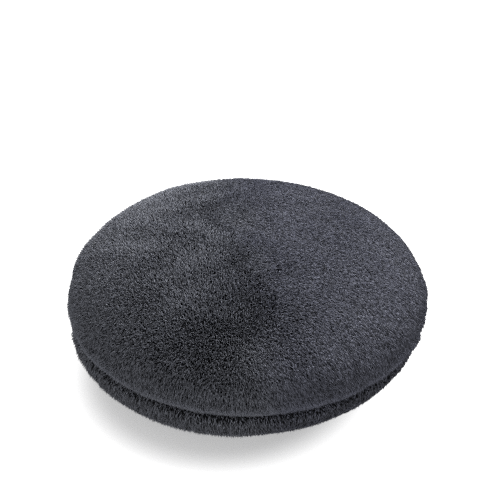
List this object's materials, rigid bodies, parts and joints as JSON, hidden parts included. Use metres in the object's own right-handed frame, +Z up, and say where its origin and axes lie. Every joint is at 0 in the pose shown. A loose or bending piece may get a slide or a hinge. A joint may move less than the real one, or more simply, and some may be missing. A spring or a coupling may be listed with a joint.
{
  "type": "floor cushion",
  "caption": "Round domed floor cushion with a removable fur-fabric cover, a rear rim zip and a fibre-filled insert.",
  "frame": {"origin": "centre of the flat patch under the cushion, on the floor", "axes": "+Z up, the shortest extent; the zip is centred on +Y, so -Y is the front"},
  "size_m": [0.6, 0.6, 0.25],
  "materials": {
    "fur_fabric": "dense short charcoal grey faux fur with a direction to its pile",
    "sewing_thread": "spun polyester thread, dark grey",
    "zip_tape": "woven polyester tape, dark grey",
    "zip_coil": "nylon monofilament coil, dark grey",
    "zip_metal": "dark plated zinc",
    "label_satin": "white satin ribbon, blank",
    "insert_casing": "plain-weave white cotton",
    "casing_thread": "spun polyester thread, white",
    "fibre_filling": "loose hollow polyester fibre, white"
  },
  "bodies": {
    "cushion": {"cover_top_panel": "fur_fabric", "cover_bottom_panel": "fur_fabric", "cover_seam_thread": "sewing_thread", "zip_tape_upper": "zip_tape", "zip_tape_lower": "zip_tape", "zip_coil_upper": "zip_coil", "zip_coil_lower": "zip_coil", "zip_stitching_upper": "sewing_thread", "zip_stitching_lower": "sewing_thread", "zip_top_stops": "zip_metal", "zip_bottom_stop": "zip_metal", "zip_bar_tacks": "sewing_thread", "care_label": "label_satin", "insert_case_top": "insert_casing", "insert_case_bottom": "insert_casing", "insert_seam_thread": "casing_thread", "insert_closing_stitches": "casing_thread", "fibre_filling": "fibre_filling"},
    "slider": {"zip_slider_body": "zip_metal"},
    "tab": {"zip_pull_tab": "zip_metal"}
  },
  "joints": [
    {"name": "zip_slide", "type": "hinge", "parent": "cushion", "child": "slider", "pos_m": [0, 0, 0.112], "axis": [0, 0, 1], "range_deg": [-118, 0]},
    {"name": "pull_tab_hinge", "type": "hinge", "parent": "slider", "child": "tab", "pos_m": [-0.23478, 0.14107, 0.112], "axis": [0, 0, 1], "range_deg": [0, 165]}
  ]
}
